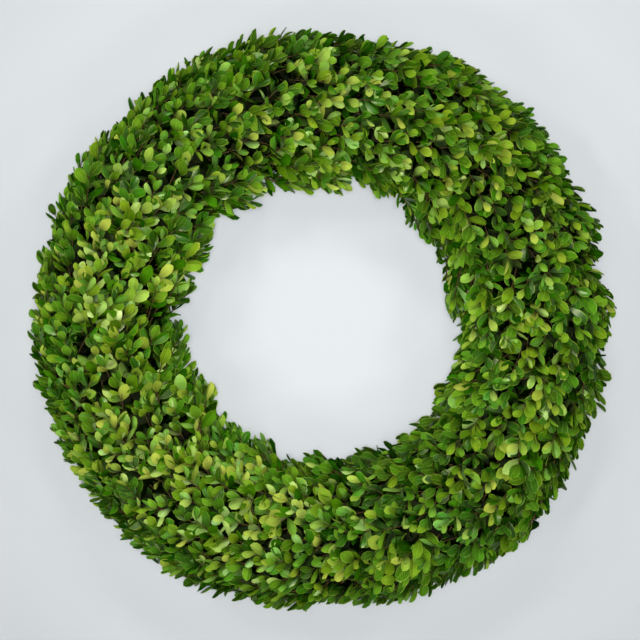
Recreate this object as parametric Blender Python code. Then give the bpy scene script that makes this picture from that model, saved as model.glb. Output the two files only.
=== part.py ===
"""Boxwood wreath, 508 mm across, lying on its back: leafy bunches bound one after another to a wire frame.

The ring's axis is +Z and its back lies at z = 0. Every bunch points clockwise as seen from the front (+Z).
Its narrow tail of stems lies on the frame, held by a wire tie, and the next bunch's head covers that tail.
Leaves are drawn larger than life here, so that fewer of them cover the ring.
"""

import math
import random

import bmesh
import bpy
from mathutils import Matrix, Vector
from mathutils.bvhtree import BVHTree

MM = 0.001

# The ring as a whole
RING_RADIUS = 185 * MM
WREATH_RADIUS = 255 * MM
HOLE_RADIUS = 111.5 * MM
FOLIAGE_TOP = 96 * MM
FOLIAGE_BOTTOM = 1.0 * MM
GAP = 0.3 * MM

# Bunches: how many, and where the first wire tie sits round the ring
BUNCHES = 18
PITCH = math.tau / BUNCHES
FIRST_TIE = math.radians(5)

# Wire frame: two rails joined by short cross wires
RAIL_SPACING = 34 * MM
RAIL_WIRE = 3.2 * MM
RAIL_SEGMENTS = 36
RAIL_SIDES = 8
CROSS_WIRE = 2.6 * MM
CROSS_WIRES = 9
FIRST_CROSS_WIRE = math.radians(35)

# Wire ties: flat bands of florist wire round each tail and both rails
TIE_WIRE = 1.2 * MM
TIE_WIDTH = 3.6 * MM
TIE_SLACK = 0.5 * MM
TIE_CORNER = 3 * MM
RAIL_CENTRE_Z = TIE_WIRE + GAP + RAIL_WIRE / 2
RAIL_TOP_Z = RAIL_CENTRE_Z + RAIL_WIRE / 2

# Tail of stems
TAIL_LENGTH = 8 * MM
TAIL_BOTTOM_Z = RAIL_TOP_Z + GAP
TAIL_TOP_Z = 19 * MM
TAIL_HALF_WIDTH = 18.6 * MM
TAIL_CORNER = 4 * MM
TAIL_ROOT = 10 * MM
POCKET_CLEARANCE = 0.6 * MM

# Core of a bunch: the dense inner twigs, an oval section with a flat back, fuller towards the hole
CORE_HALF_WIDTH = 49 * MM
CORE_INNER_HALF_WIDTH = 52.5 * MM
CORE_HALF_HEIGHT = 40 * MM
CORE_CENTRE_Z = 38 * MM
CORE_BOTTOM_Z = TAIL_BOTTOM_Z - 0.1 * MM
CORE_POINTS = 10
CORE_ROUGHNESS = 0.04
NECK_SCALE = 0.48
NECK_CENTRE_Z = 14 * MM
CONE_SHIFT = math.radians(8.5)
CONE_RISE = 25 * MM
BUNCH_GAP = math.radians(0.3)

# Leaves
LEAF_LENGTH = 35 * MM
LEAF_WIDTH = 19.5 * MM
LEAF_HEIGHT = 1.2 * MM
LEAF_DROOP = 0.7 * MM
LEAF_SUNK = 5 * MM
ROOT_DEPTH = 2 * MM
LEAF_SPACING = 18 * MM
LEAF_LEAN = math.radians(50)
LOWEST_LEAF = math.radians(-24)
LEAF_CLEARANCE = 0.5 * MM
LEAF_TRIES = 14
SEED = 7

GREEN = (0.06, 0.17, 0.02, 1)
WIRE_GREEN = (0.02, 0.07, 0.03, 1)


def clear_scene():
    for obj in list(bpy.data.objects):
        bpy.data.objects.remove(obj)


def material(name, colour, roughness, metallic=0.0):
    made = bpy.data.materials.new(name)
    made.use_nodes = True
    shader = made.node_tree.nodes["Principled BSDF"]
    shader.inputs["Base Color"].default_value = colour
    shader.inputs["Roughness"].default_value = roughness
    shader.inputs["Metallic"].default_value = metallic
    return made


def object_from(bm, name, finish=None):
    mesh = bpy.data.meshes.new(name)
    bm.to_mesh(mesh)
    bm.free()
    if finish:
        mesh.materials.append(finish)
    obj = bpy.data.objects.new(name, mesh)
    bpy.context.scene.collection.objects.link(obj)
    return obj


def outward(bm):
    bmesh.ops.recalc_face_normals(bm, faces=bm.faces)
    if bm.calc_volume(signed=True) < 0:
        bmesh.ops.reverse_faces(bm, faces=bm.faces)


def at_angle(angle):
    """The frame at one place on the ring: X outwards from the hole, Y counter-clockwise, Z up."""
    return Matrix.Rotation(angle, 4, "Z") @ Matrix.Translation((RING_RADIUS, 0, 0))


def combine(obj, others, operation, solver="EXACT"):
    """Applies one Boolean of obj with the other objects, and removes them."""
    tools = bpy.data.collections.new(obj.name + "_tools")
    bpy.context.scene.collection.children.link(tools)
    for other in others:
        tools.objects.link(other)
    boolean = obj.modifiers.new("join", "BOOLEAN")
    boolean.operation = operation
    boolean.operand_type = "COLLECTION"
    boolean.collection = tools
    boolean.solver = solver
    graph = bpy.context.evaluated_depsgraph_get()
    done = bpy.data.meshes.new_from_object(obj.evaluated_get(graph))
    obj.modifiers.clear()
    obj.data = done
    for other in others:
        bpy.data.objects.remove(other)
    bpy.data.collections.remove(tools)


def box(name, low, high, place):
    bm = bmesh.new()
    bmesh.ops.create_cube(bm, size=1)
    low, high = Vector(low), Vector(high)
    size = Matrix.Diagonal((*(high - low), 1))
    bmesh.ops.transform(bm, matrix=place @ Matrix.Translation((low + high) / 2) @ size, verts=bm.verts)
    return object_from(bm, name)


# Wire frame


def rail(name, radius, finish=None):
    """One ring of wire with a flat facet below, above, inside and outside."""
    bm = bmesh.new()
    turn = Matrix.Rotation(math.pi / RAIL_SIDES, 4, "Z")
    stand = Matrix.Rotation(math.pi / 2, 4, "X")
    place = Matrix.Rotation(FIRST_TIE, 4, "Z") @ Matrix.Translation((radius, 0, RAIL_CENTRE_Z))
    corner_radius = RAIL_WIRE / 2 / math.cos(math.pi / RAIL_SIDES)
    bmesh.ops.create_circle(bm, segments=RAIL_SIDES, radius=corner_radius, matrix=place @ stand @ turn)
    bmesh.ops.spin(
        bm,
        geom=bm.verts[:] + bm.edges[:],
        axis=(0, 0, 1),
        cent=(0, 0, 0),
        angle=math.tau,
        steps=RAIL_SEGMENTS,
        use_merge=True,
    )
    bmesh.ops.remove_doubles(bm, verts=bm.verts, dist=0.01 * MM)
    outward(bm)
    return object_from(bm, name, finish)


def cross_wire(number):
    bm = bmesh.new()
    bmesh.ops.create_cone(
        bm, cap_ends=True, segments=6, radius1=CROSS_WIRE / 2, radius2=CROSS_WIRE / 2, depth=RAIL_SPACING
    )
    angle = FIRST_CROSS_WIRE + number * math.tau / CROSS_WIRES
    lay = Matrix.Translation((0, 0, RAIL_CENTRE_Z)) @ Matrix.Rotation(math.pi / 2, 4, "Y")
    bmesh.ops.transform(bm, matrix=at_angle(angle) @ lay, verts=bm.verts)
    return object_from(bm, f"cross_{number}")


def wire_frame(finish):
    frame = rail("wire_frame", RING_RADIUS + RAIL_SPACING / 2, finish)
    inner = rail("inner_rail", RING_RADIUS - RAIL_SPACING / 2)
    crosses = [cross_wire(n) for n in range(CROSS_WIRES)]
    combine(frame, [inner, *crosses], "UNION")


# Wire ties


def tie_angle(number):
    return FIRST_TIE + number * PITCH


def upright_face(bm, y, half_width, bottom, top, low_corner, high_corner):
    """One face across the ring at y, with its four corners cut."""
    outline = [
        (-half_width + low_corner, bottom),
        (half_width - low_corner, bottom),
        (half_width, bottom + low_corner),
        (half_width, top - high_corner),
        (half_width - high_corner, top),
        (-half_width + high_corner, top),
        (-half_width, top - high_corner),
        (-half_width, bottom + low_corner),
    ]
    face = bm.faces.new([bm.verts.new((x, y, z)) for x, z in outline])
    face.normal_update()
    return face


def extrude_along(bm, distance):
    """Extrudes every face the given distance round the ring."""
    made = bmesh.ops.extrude_face_region(bm, geom=bm.faces[:])["geom"]
    moved = [v for v in made if isinstance(v, bmesh.types.BMVert)]
    bmesh.ops.translate(bm, vec=(0, distance, 0), verts=moved)
    outward(bm)


def wire_tie(number, finish):
    """A closed band wider than the tail, reaching under both rails to z = 0."""
    reach = TAIL_HALF_WIDTH + TIE_SLACK + TIE_WIRE
    top = TAIL_TOP_Z + GAP + TIE_WIRE
    bm = bmesh.new()
    face = upright_face(bm, -TIE_WIDTH / 2, reach, 0, top, TIE_WIRE, TIE_CORNER)
    bmesh.ops.inset_individual(bm, faces=[face], thickness=TIE_WIRE, use_even_offset=True)
    bmesh.ops.delete(bm, geom=[face], context="FACES_ONLY")
    extrude_along(bm, TIE_WIDTH)
    bmesh.ops.transform(bm, matrix=at_angle(tie_angle(number)), verts=bm.verts)
    return object_from(bm, f"wire_tie_{number + 1:02d}", finish)


# Bunches


def boundary_angle(number):
    """Where bunch `number` ends and its tail begins, just clockwise of its tie."""
    return tie_angle(number) - TAIL_LENGTH / 2 / RING_RADIUS


def core_wall(phi):
    """(outward offset, height) on the core's oval section, at phi round it from the outer side over the front."""
    half_width = CORE_HALF_WIDTH if math.cos(phi) > 0 else CORE_INNER_HALF_WIDTH
    return half_width * math.cos(phi), CORE_CENTRE_Z + CORE_HALF_HEIGHT * math.sin(phi)


def section_angles():
    """Angles of the section's points, from the outer edge of the flat back, over the front, to its inner edge."""
    below = math.asin((CORE_CENTRE_Z - CORE_BOTTOM_Z) / CORE_HALF_HEIGHT)
    step = (math.pi + 2 * below) / (CORE_POINTS - 1)
    return [-below + i * step for i in range(CORE_POINTS)]


def cone_shift(z):
    """How far clockwise the edge of a bunch leans at height z. It is none at the back, where the tail lies."""
    return CONE_SHIFT * min(1, max(0, (z - CORE_BOTTOM_Z) / CONE_RISE))


def core(number, roughness, finish):
    """A slice of the ring between two hollow cones, so that one bunch nests in the next."""
    clockwise, counter = (number - 1) % BUNCHES, number
    start = boundary_angle(number) - PITCH + BUNCH_GAP
    end = boundary_angle(number)
    rows = [
        (start, clockwise, NECK_SCALE),
        (start, clockwise, 1),
        ((start + end) / 2, BUNCHES + number, 1),
        (end, counter, 1),
        (end, counter, NECK_SCALE),
    ]
    bm = bmesh.new()
    bmesh.ops.create_grid(bm, x_segments=CORE_POINTS, y_segments=len(rows) - 1, size=1)
    bm.verts.ensure_lookup_table()
    angles = section_angles()
    for row, (angle, key, scale) in enumerate(rows):
        for column in range(CORE_POINTS + 1):
            point = column % CORE_POINTS
            u, z = core_wall(angles[point])
            shift = 0
            if scale == 1:
                if 0 < point < CORE_POINTS - 1:
                    u *= roughness[key][point]
                shift = cone_shift(z)
            else:
                u, z = u * scale, NECK_CENTRE_Z + (z - NECK_CENTRE_Z) * scale
            vertex = bm.verts[row * (CORE_POINTS + 1) + column]
            vertex.co = at_angle(angle - shift) @ Vector((u, 0, z))
    bmesh.ops.remove_doubles(bm, verts=bm.verts, dist=0.01 * MM)
    bmesh.ops.holes_fill(bm, edges=bm.edges)
    bmesh.ops.triangulate(bm, faces=bm.faces)
    outward(bm)
    return object_from(bm, f"bunch_{number + 1:02d}", finish)


def tail(number):
    """The bundle of stems that the tie holds on the frame. It starts inside its own bunch."""
    bm = bmesh.new()
    start = -TAIL_LENGTH / 2 - TAIL_ROOT
    upright_face(bm, start, TAIL_HALF_WIDTH, TAIL_BOTTOM_Z, TAIL_TOP_Z, TAIL_CORNER / 4, TAIL_CORNER)
    extrude_along(bm, TAIL_LENGTH / 2 - start)
    bmesh.ops.transform(bm, matrix=at_angle(tie_angle(number)), verts=bm.verts)
    return object_from(bm, f"tail_{number}")


def pocket(number):
    """The hollow at the front of bunch `number`, round the clockwise neighbour's tail and tie."""
    reach = TAIL_HALF_WIDTH + TIE_SLACK + TIE_WIRE + POCKET_CLEARANCE
    low = (-reach, -TAIL_LENGTH, CORE_BOTTOM_Z - 2 * MM)
    high = (reach, TAIL_LENGTH / 2 + POCKET_CLEARANCE, TAIL_TOP_Z + GAP + TIE_WIRE + POCKET_CLEARANCE)
    return box(f"pocket_{number}", low, high, at_angle(tie_angle(number - 1)))


# Leaves


def leaf_shape(length, width, height, droop, start=0.0):
    """A five-sided blade, widest past its middle and blunt at its tip, with a raised midrib point."""
    bm = bmesh.new()
    rim = [
        (0, start * length, 0),
        (-0.5 * width, 0.52 * length, -droop),
        (-0.24 * width, length, -0.8 * droop),
        (0.24 * width, length, -0.8 * droop),
        (0.5 * width, 0.52 * length, -droop),
    ]
    points = [bm.verts.new(p) for p in rim]
    rib = bm.verts.new((0, 0.6 * length, height))
    for i, point in enumerate(points):
        bm.faces.new((rib, points[i - 1], point))
    root, left, left_tip, right_tip, right = points
    for corners in ((root, right, left), (left, right_tip, left_tip), (left, right, right_tip)):
        bm.faces.new(corners)
    return bm


def leaf_directions(angle, phi, rng):
    """Which way a leaf at one spot points, and the outward direction there."""
    turn = Matrix.Rotation(angle, 3, "Z")
    normal = turn @ Vector((math.cos(phi) / CORE_HALF_WIDTH, 0, math.sin(phi) / CORE_HALF_HEIGHT)).normalized()
    clockwise = turn @ Vector((0, -1, 0))
    across = normal.cross(clockwise)
    lean = LEAF_LEAN + math.radians(rng.uniform(-13, 10))
    fan = math.radians(rng.choice((-1, 1)) * rng.uniform(4, 26))
    sideways = clockwise * math.cos(fan) + across * math.sin(fan)
    return normal * math.cos(lean) + sideways * math.sin(lean), normal


def leaf_matrix(root, along, normal, roll):
    """The matrix that lays a leaf's length along `along` from its root, its face turned outwards."""
    face = (normal - along * normal.dot(along)).normalized()
    face = Matrix.Rotation(roll, 3, along) @ face
    turned = Matrix((along.cross(face), along, face)).transposed().to_4x4()
    return Matrix.Translation(root) @ turned


def inside_limits(points):
    """Whether the points stay between the hole, the outline, the surface below and the foliage's top."""
    return all(
        HOLE_RADIUS < Vector((p.x, p.y)).length < WREATH_RADIUS and FOLIAGE_BOTTOM < p.z < FOLIAGE_TOP for p in points
    )


def turned_up(along, root, length):
    """`along`, turned up until a leaf of this length stays clear of the surface below."""
    lowest = FOLIAGE_BOTTOM + LEAF_WIDTH / 4
    if root.z + along.z * length < lowest:
        level = Vector((along.x, along.y, 0)).normalized()
        rise = (lowest - root.z) / length
        along = level * math.sqrt(max(0, 1 - rise * rise)) + Vector((0, 0, rise))
    return along


def tree_of(meshes):
    """One search tree over several (points, triangles)."""
    points, faces = [], []
    for more_points, more_faces in meshes:
        first = len(points)
        points += more_points
        faces += [tuple(first + i for i in face) for face in more_faces]
    return BVHTree.FromPolygons(points, faces) if faces else None


def placed(bm, matrix):
    """(points, triangles) of a bmesh moved by the matrix. The bmesh is freed."""
    bm.verts.index_update()
    points = [matrix @ v.co for v in bm.verts]
    faces = [tuple(v.index for v in face.verts) for face in bm.faces]
    bm.free()
    return points, faces


def meets(first, second):
    return first is not None and second is not None and bool(first.overlap(second))


def inside(tree, point, depth):
    """Whether the point is at least this deep inside the closed shape."""
    near, normal, _, distance = tree.find_nearest(point)
    return (point - near).dot(normal) < 0 and distance > depth


def leaf_spots(rng):
    """(ring angle, angle round the section) of every leaf: staggered rows, closer together on the inner side."""
    spots = []
    highest = math.pi - LOWEST_LEAF
    arc = (CORE_HALF_WIDTH + CORE_HALF_HEIGHT) / 2 * (highest - LOWEST_LEAF)
    columns = round(arc / LEAF_SPACING) + 1
    for column in range(columns):
        phi = LOWEST_LEAF + (highest - LOWEST_LEAF) * column / (columns - 1)
        radius = RING_RADIUS + core_wall(phi)[0]
        count = round(math.tau * radius / LEAF_SPACING)
        for n in range(count):
            angle = (n + column * 0.5 + rng.uniform(-0.17, 0.17)) * math.tau / count
            spots.append((angle, phi + rng.uniform(-0.07, 0.07)))
    return spots


def wall_at(walls, angle, phi):
    """The bunch whose core is met first when looking in at this spot, and where its wall is there."""
    u, z = core_wall(phi)
    centre = at_angle(angle) @ Vector((0, 0, CORE_CENTRE_Z))
    edge = at_angle(angle) @ Vector((u, 0, z))
    far = centre + (edge - centre) * 1.6
    looks = [(wall.ray_cast(far, centre - far), number) for number, wall in enumerate(walls)]
    found = [(hit[3], number, hit[0]) for hit, number in looks if hit[0]]
    _, number, place = min(found, key=lambda item: item[0])
    return number, place


def try_leaf(place, angle, phi, rng, core_tree, near_cores, leaves):
    """A leaf's (points, triangles) and its outline grown by the clearance, or None if it won't fit here."""
    for _ in range(LEAF_TRIES):
        size = rng.uniform(0.88, 1.06)
        length, width = LEAF_LENGTH * size, LEAF_WIDTH * size
        along, normal = leaf_directions(angle, phi, rng)
        root = place - normal * LEAF_SUNK
        if not inside(core_tree, root, ROOT_DEPTH):
            continue
        along = turned_up(along, root, length)
        matrix = leaf_matrix(root, along, normal, math.radians(rng.uniform(-28, 28)))
        blade = placed(leaf_shape(length, width, LEAF_HEIGHT, LEAF_DROOP), matrix)
        if not inside_limits(blade[0]):
            continue
        grown = (length + LEAF_CLEARANCE, width + 2 * LEAF_CLEARANCE, LEAF_HEIGHT + LEAF_CLEARANCE)
        whole = tree_of([placed(leaf_shape(*grown, LEAF_DROOP + LEAF_CLEARANCE), matrix)])
        outer = placed(leaf_shape(*grown, LEAF_DROOP + LEAF_CLEARANCE, start=0.3), matrix)
        tip = tree_of([outer])
        if any(meets(whole, tree) for tree in near_cores) or any(meets(tip, tree) for tree in leaves):
            continue
        return blade, outer
    return None


def grow_leaves(cores, rng):
    """For each bunch, the blades that fit without crossing a neighbour."""
    walls = [tree_of([placed_object(obj)]) for obj in cores]
    blades = [[] for _ in range(BUNCHES)]
    outlines = [[] for _ in range(BUNCHES)]
    spots = [(*wall_at(walls, angle, phi), angle, phi) for angle, phi in leaf_spots(rng)]
    spots.sort(key=lambda spot: spot[0])
    for number, place, angle, phi in spots:
        near = [(number + step) % BUNCHES for step in (-2, -1, 0, 1, 2)]
        near_cores = [walls[near[1]], walls[near[3]]]
        leaves = [tree_of(outlines[n]) for n in near]
        found = try_leaf(place, angle, phi, rng, walls[number], near_cores, leaves)
        if found:
            blades[number].append(found[0])
            outlines[number].append(found[1])
    return blades


def placed_object(obj):
    bm = bmesh.new()
    bm.from_mesh(obj.data)
    return placed(bm, Matrix.Identity(4))


def blade_object(name, points, faces):
    bm = bmesh.new()
    made = [bm.verts.new(p) for p in points]
    for face in faces:
        bm.faces.new([made[i] for i in face])
    outward(bm)
    return object_from(bm, name)


def wreath():
    rng = random.Random(SEED)
    leaf = material("boxwood_leaf", GREEN, 0.45)
    wire = material("green_wire", WIRE_GREEN, 0.5, 0.3)
    wire_frame(wire)
    for number in range(BUNCHES):
        wire_tie(number, wire)
    low, high = 1 - CORE_ROUGHNESS, 1 + CORE_ROUGHNESS
    roughness = [[rng.uniform(low, high) for _ in range(CORE_POINTS)] for _ in range(2 * BUNCHES)]
    cores = [core(number, roughness, leaf) for number in range(BUNCHES)]
    blades = grow_leaves(cores, rng)
    for number, obj in enumerate(cores):
        leaves = [blade_object(f"leaf_{number}_{n}", *blade) for n, blade in enumerate(blades[number])]
        combine(obj, [pocket(number)], "DIFFERENCE")
        combine(obj, [tail(number), *leaves], "UNION", "MANIFOLD")
    print("leaves", sum(len(found) for found in blades), [len(found) for found in blades])


clear_scene()
wreath()
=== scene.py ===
# %% [markdown]
# # A boxwood wreath
# Short sprigs of box are gathered into small bunches. Each bunch is bound with wire to a flat wire frame,
# and its leafy head hides the stems of the bunch before it, so all the sprigs point clockwise round the
# ring. This lesson builds the wreath as it would be made by hand: the frame first, then the ties, then one
# leaf, one sprig, and at last every bunch. It lies on its back on a pale table, and the camera looks
# straight down.

# %% Open the frame
import math
import random

import bmesh
import bpy
from mathutils import Matrix, Vector, noise


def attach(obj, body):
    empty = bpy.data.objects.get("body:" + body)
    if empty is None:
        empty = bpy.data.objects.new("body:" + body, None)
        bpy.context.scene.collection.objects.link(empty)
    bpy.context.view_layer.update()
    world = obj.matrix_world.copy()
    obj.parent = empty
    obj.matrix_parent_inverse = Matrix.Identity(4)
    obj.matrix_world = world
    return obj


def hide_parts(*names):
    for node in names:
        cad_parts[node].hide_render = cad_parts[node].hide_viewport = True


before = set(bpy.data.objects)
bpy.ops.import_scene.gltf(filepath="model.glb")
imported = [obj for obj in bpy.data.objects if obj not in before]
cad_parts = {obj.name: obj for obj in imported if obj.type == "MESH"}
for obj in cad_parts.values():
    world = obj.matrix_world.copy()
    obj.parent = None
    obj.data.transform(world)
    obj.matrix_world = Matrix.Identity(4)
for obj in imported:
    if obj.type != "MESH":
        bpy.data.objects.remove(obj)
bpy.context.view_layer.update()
print("nodes in the frame:", len(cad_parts))

# %% [markdown]
# ## The sizes that everything hangs on
# These are the sizes of the solid model, so each new piece lands where its solid is. Angles run
# anticlockwise from the right-hand side, seen from the front. Each bunch starts at the tie of the bunch
# clockwise of it.

# %% Sizes of the ring
MM = 0.001
RING_RADIUS = 185 * MM
BUNCHES = 18
PITCH = math.tau / BUNCHES
FIRST_TIE = math.radians(5)
RAIL_SPACING = 34 * MM
RAIL_WIRE = 3.2 * MM
RAIL_CENTRE_Z = 3.1 * MM
TABLE_CLEARANCE = 0.6 * MM


def ring_place(angle):
    """The place on the ring at one angle: X away from the hole, Y anticlockwise, Z up."""
    return Matrix.Rotation(angle, 4, "Z") @ Matrix.Translation((RING_RADIUS, 0, 0))


def tie_angle(number):
    return FIRST_TIE + number * PITCH


print("ties every", round(math.degrees(PITCH)), "degrees")

# %% [markdown]
# ## Helpers for colour and nodes
# A colour picked on screen is an sRGB value, but a shader adds up light, which is linear. One function
# turns the familiar hex code into linear light. A second adds a node with its settings and links, and gives
# back the output that the next node needs. Inputs whose names repeat go by number. A Map Range node takes
# its value at 0 and turns the range from 1 to 2 into the range from 3 to 4. A Mix node for colours has its
# share at 0 and its two colours at 6 and 7.

# %% Colour and node helpers


def linear(hex_code):
    """A shader colour from an sRGB hex code."""
    parts = [int(hex_code[i : i + 2], 16) / 255 for i in (0, 2, 4)]
    return [p / 12.92 if p <= 0.04045 else ((p + 0.055) / 1.055) ** 2.4 for p in parts] + [1]


def add_node(tree, kind, settings=None, inputs=None, output=0, stops=()):
    """Adds a node and gives back one output. Inputs are values or other outputs. Stops fill a colour ramp."""
    node = tree.nodes.new(kind)
    for name, value in (settings or {}).items():
        setattr(node, name, value)
    for key, value in (inputs or {}).items():
        if isinstance(value, bpy.types.NodeSocket):
            tree.links.new(value, node.inputs[key])
        else:
            node.inputs[key].default_value = value
    for number, (position, hex_code) in enumerate(stops):
        elements = node.color_ramp.elements
        element = elements[number] if number < len(elements) else elements.new(position)
        element.position = position
        element.color = linear(hex_code)
    return node.outputs[output]


def new_material(name):
    """A material with its node tree and its shader."""
    made = bpy.data.materials.new(name)
    made.use_nodes = True
    return made, made.node_tree, made.node_tree.nodes["Principled BSDF"]


print("mid grey #808080 is", round(linear("808080")[0], 3), "in linear light")

# %% [markdown]
# ## What a box leaf looks like
# The upper side is leathery and waxed, from fresh green to deep blue-green, and takes a soft white sheen.
# The underside is matt and much yellower, with a pale midrib. Its brighter tones are partly the paler
# underside of box and partly painted light that stands for light shining through the leaf. Both sides fade to
# a thin pale edge, partly the leaf's own pale margin and partly a painted highlight. Old leaves further down
# the twig have lost their wax and are dull, and their colour is darkened as painted shade. Every leaf carries
# three numbers of its own: tone runs from deep to fresh green, warmth from cool green to olive yellow, and
# depth from buried to outermost, which sets the painted shade. The leaf's own UV map runs across it and along
# it, so the midrib and veins follow every leaf.

# %% Recipe for a leaf material
# Patterns across a leaf are shares of its width, and those along it are shares of its length.
VEINS_PER_LEAF = 9
VEIN_SLANT = 0.55
VEIN_EDGE = 0.2
VEIN_STRENGTH = 0.2
VEIN_RELIEF = 0.2 * MM
RIB_HALF_WIDTH = 0.045
RIB_TAPER = 0.03
RIM_START = 0.42
RIM_END = 0.5
BLOTCHES_PER_METRE = 160
BLOTCH_STRENGTH = 0.3
# What is left of a leaf's colour where it is buried deepest, and the depth from which all of it is left. This
# darkening is painted shade.
BURIED = 0.03
FULL_COLOUR_DEPTH = 0.95
# What is left of it where the leaf joins its stem, and how far along the leaf this painted shade ends. It
# stands for the shade at each leaf's base.
AT_STALK = 0.3
STALK_SHADE_END = 0.6
# How rough a leaf without wax is, the depth up to which it has none, and the depth from which it has it all.
DULL_ROUGHNESS = 0.9
DULL_DEPTH = 0.3
WAXED_DEPTH = 0.8
WARMTH_TINTS = [(0.0, "d8ffff"), (0.5, "f6ffe4"), (1.0, "fcf4c2")]


def leaf_material(name, tones, rib_colour, edge_colour, rib_strength, edge_strength, roughness):
    """Paints one side of a leaf."""
    made, tree, shader = new_material(name)
    colours = {"data_type": "RGBA"}
    uv = add_node(tree, "ShaderNodeUVMap", {"uv_map": "Leaf"})
    across = add_node(tree, "ShaderNodeSeparateXYZ", inputs={"Vector": uv}, output="X")
    along = across.node.outputs["Y"]
    centred = add_node(tree, "ShaderNodeMath", {"operation": "SUBTRACT"}, {0: across, 1: 0.5})
    from_rib = add_node(tree, "ShaderNodeMath", {"operation": "ABSOLUTE"}, {0: centred})

    # The tone of the leaf, mottled by slow blotches about 6 mm wide.
    tone = add_node(tree, "ShaderNodeAttribute", {"attribute_name": "tone"}, output="Fac")
    place = add_node(tree, "ShaderNodeTexCoord", output="Object")
    blotch = add_node(
        tree, "ShaderNodeTexNoise", inputs={"Vector": place, "Scale": BLOTCHES_PER_METRE, "Detail": 3.0}
    )
    lowered = add_node(tree, "ShaderNodeMath", {"operation": "SUBTRACT"}, {0: tone, 1: BLOTCH_STRENGTH / 2})
    mixed = {0: blotch, 1: BLOTCH_STRENGTH, 2: lowered}
    mottled = add_node(tree, "ShaderNodeMath", {"operation": "MULTIPLY_ADD"}, mixed)
    body = add_node(tree, "ShaderNodeValToRGB", inputs={"Fac": mottled}, stops=tones)

    # Each vein is a stripe across the leaf, and slants towards the tip as it leaves the midrib.
    slanted = {0: from_rib, 1: -VEIN_SLANT, 2: along}
    slant = add_node(tree, "ShaderNodeMath", {"operation": "MULTIPLY_ADD"}, slanted)
    turns = {0: slant, 1: VEINS_PER_LEAF * math.tau}
    wave = add_node(tree, "ShaderNodeMath", {"operation": "MULTIPLY"}, turns)
    stripe = add_node(tree, "ShaderNodeMath", {"operation": "SINE"}, {0: wave})
    vein_range = {0: stripe, 1: VEIN_EDGE, 2: 1.0, 3: 0.0, 4: VEIN_STRENGTH}
    vein = add_node(tree, "ShaderNodeMapRange", inputs=vein_range)
    body = add_node(tree, "ShaderNodeMix", colours, {0: vein, 6: body, 7: linear(rib_colour)}, 2)

    # The midrib narrows towards the tip, and the rim of the leaf is pale: partly its own pale margin and
    # partly a painted highlight.
    tapered = {0: along, 1: -RIB_TAPER, 2: RIB_HALF_WIDTH}
    rib_width = add_node(tree, "ShaderNodeMath", {"operation": "MULTIPLY_ADD"}, tapered)
    on_rib = add_node(tree, "ShaderNodeMath", {"operation": "LESS_THAN"}, {0: from_rib, 1: rib_width})
    rib = add_node(tree, "ShaderNodeMath", {"operation": "MULTIPLY"}, {0: on_rib, 1: rib_strength})
    body = add_node(tree, "ShaderNodeMix", colours, {0: rib, 6: body, 7: linear(rib_colour)}, 2)
    past_middle = add_node(tree, "ShaderNodeMath", {"operation": "SUBTRACT"}, {0: along, 1: 0.5})
    outwards = add_node(tree, "ShaderNodeMath", {"operation": "MAXIMUM"}, {0: from_rib, 1: past_middle})
    rim_range = {0: outwards, 1: RIM_START, 2: RIM_END, 3: 0.0, 4: edge_strength}
    rim = add_node(tree, "ShaderNodeMapRange", inputs=rim_range)
    body = add_node(tree, "ShaderNodeMix", colours, {0: rim, 6: body, 7: linear(edge_colour)}, 2)

    # The warmth of the leaf tints all of it, rib and rim too.
    warmth = add_node(tree, "ShaderNodeAttribute", {"attribute_name": "warmth"}, output="Fac")
    tint = add_node(tree, "ShaderNodeValToRGB", inputs={"Fac": warmth}, stops=WARMTH_TINTS)
    multiply = {**colours, "blend_type": "MULTIPLY"}
    body = add_node(tree, "ShaderNodeMix", multiply, {0: 1.0, 6: body, 7: tint}, 2)

    # Leaves deep inside the wreath are dull, and their colour is darkened as painted shade. Every leaf is
    # also darkened where it joins its stem, as painted shade.
    depth = add_node(tree, "ShaderNodeAttribute", {"attribute_name": "depth"}, output="Fac")
    smooth = {"interpolation_type": "SMOOTHSTEP"}
    shade_range = {0: depth, 1: 0.0, 2: FULL_COLOUR_DEPTH, 3: BURIED, 4: 1.0}
    shade = add_node(tree, "ShaderNodeMapRange", smooth, shade_range)
    stalk_range = {0: along, 1: 0.0, 2: STALK_SHADE_END, 3: AT_STALK, 4: 1.0}
    stalk = add_node(tree, "ShaderNodeMapRange", inputs=stalk_range)
    share = add_node(tree, "ShaderNodeMath", {"operation": "MULTIPLY"}, {0: shade, 1: stalk})
    shaded = add_node(tree, "ShaderNodeVectorMath", {"operation": "SCALE"}, {0: body, "Scale": share})
    tree.links.new(shaded, shader.inputs["Base Color"])
    dull_range = {0: depth, 1: DULL_DEPTH, 2: WAXED_DEPTH, 3: DULL_ROUGHNESS, 4: roughness}
    dullness = add_node(tree, "ShaderNodeMapRange", inputs=dull_range)
    tree.links.new(dullness, shader.inputs["Roughness"])
    relief = add_node(tree, "ShaderNodeMath", {"operation": "SUBTRACT"}, {0: vein, 1: on_rib})
    raised = {"Height": relief, "Strength": 0.3, "Distance": VEIN_RELIEF}
    bump = add_node(tree, "ShaderNodeBump", inputs=raised)
    tree.links.new(bump, shader.inputs["Normal"])
    return made, shader


print("veins down a leaf:", VEINS_PER_LEAF)

# %% Leaf materials
upper_side, upper_shader = leaf_material(
    "waxed_box_leaf_upper_side",
    tones=[(0.0, "083602"), (0.3, "145002"), (0.55, "387c06"), (0.8, "80b450"), (1.0, "b2d68c")],
    rib_colour="90aa28",
    edge_colour="acc43c",
    rib_strength=0.2,
    edge_strength=0.68,
    roughness=0.29,
)
upper_shader.inputs["Specular IOR Level"].default_value = 0.34
upper_shader.inputs["Specular Tint"].default_value = linear("ecf4c4")

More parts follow.
